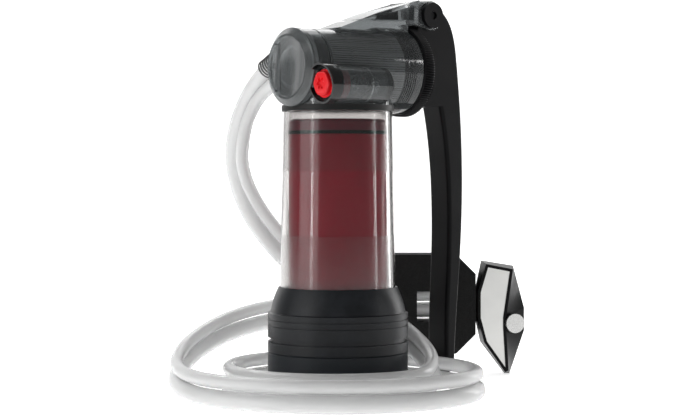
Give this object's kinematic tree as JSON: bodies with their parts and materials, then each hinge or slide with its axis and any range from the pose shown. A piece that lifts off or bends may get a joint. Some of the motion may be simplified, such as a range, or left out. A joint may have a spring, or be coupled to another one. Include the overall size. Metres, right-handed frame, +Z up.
{
  "type": "pump water filter",
  "caption": "Hand-pump water filter: clear barrel over an upright filter cartridge on a bottle adapter, bowed lever, twin hose with float and prefilter.",
  "frame": {"origin": "centre of the adapter ring's lower face, on the surface that the filter stands on", "axes": "+Z up along the cartridge, +X along the pump barrel from the end cap to the lever, +Y the side of the hose ports"},
  "size_m": [0.232, 0.1784, 0.2078],
  "materials": {
    "smooth_ring": "smooth satin plastic",
    "boot_rubber": "ribbed matt rubber",
    "black_rubber": "matt rubber",
    "smoky_clear": "smoky transparent plastic",
    "cartridge_red": "deep red gloss plastic",
    "cap_purple": "dark plum plastic",
    "fiber": "off-white hollow fibre",
    "potting": "cast resin",
    "black_plastic": "fine-grained black plastic",
    "white_plastic": "white low-friction plastic",
    "steel": "stainless steel",
    "knob_red": "bright red gloss plastic",
    "hose_clear": "milky translucent hose",
    "foam": "closed-cell foam",
    "steel_mesh": "fine woven wire"
  },
  "bodies": {
    "filter_body": {"adapter_ring": "smooth_ring", "bottle_gasket": "black_rubber", "outlet_plate": "smooth_ring", "adapter_boot": "boot_rubber", "cartridge_housing": "smoky_clear", "cartridge_shell": "cartridge_red", "fiber_potting": "potting", "fiber_bundle": "fiber", "cartridge_cap": "cap_purple", "cartridge_oring": "black_rubber", "cartridge_seal": "black_rubber", "head_gasket": "black_rubber", "pump_head": "smoky_clear", "cylinder_liner": "white_plastic", "rod_guide": "black_plastic", "rod_seal": "black_rubber", "outlet_check_valve": "black_rubber", "inlet_check_valve": "black_rubber", "pivot_bracket": "smoky_clear", "pivot_pin": "black_plastic", "pin_caps": "black_plastic", "valve_sleeve": "smoky_clear", "spring_seat": "steel", "relief_spring": "steel", "inlet_hose": "hose_clear", "purge_hose": "hose_clear", "inlet_fitting": "black_plastic", "purge_fitting": "black_plastic", "strain_spring": "steel", "hose_float": "foam", "prefilter_frame": "black_plastic", "prefilter_mesh": "steel_mesh", "prefilter_weight": "steel", "prefilter_inlet": "black_plastic"},
    "end_cap": {"end_cap": "smoky_clear", "end_cap_oring": "black_rubber"},
    "collar_nut": {"collar_nut": "black_plastic"},
    "pump_rod": {"piston": "black_plastic", "piston_seal": "black_rubber", "piston_rod": "steel", "cross_pin": "steel"},
    "handle": {"handle": "black_plastic"},
    "relief_valve": {"relief_knob": "knob_red", "relief_oring": "black_rubber", "relief_stem": "steel"}
  },
  "joints": [
    {"name": "handle_swing", "type": "hinge", "parent": "filter_body", "child": "handle", "pos_m": [0.055, 0, 0.2], "axis": [0, -1, 0], "range_deg": [0, 50]},
    {"name": "piston_slide", "type": "slide", "parent": "filter_body", "child": "pump_rod", "axis": [1, 0, 0], "range_m": [0, 0.0333]},
    {"name": "relief_slide", "type": "slide", "parent": "filter_body", "child": "relief_valve", "axis": [1, 0, 0], "range_m": [0, 0.002], "stiffness_N_per_m": 1500, "springref_m": -0.001, "deforming": ["relief_spring"]},
    {"name": "end_cap_turn", "type": "hinge", "parent": "filter_body", "child": "end_cap", "pos_m": [-0.03, 0, 0.17], "axis": [1, 0, 0], "range_deg": [0, 90]},
    {"name": "collar_turn", "type": "hinge", "parent": "filter_body", "child": "collar_nut", "pos_m": [0.043, 0, 0.17], "axis": [1, 0, 0], "range_deg": [0, 90]}
  ],
  "couplings": [
    {"joint": "piston_slide", "follows": "handle_swing", "m_per_rad": 0.038159}
  ]
}
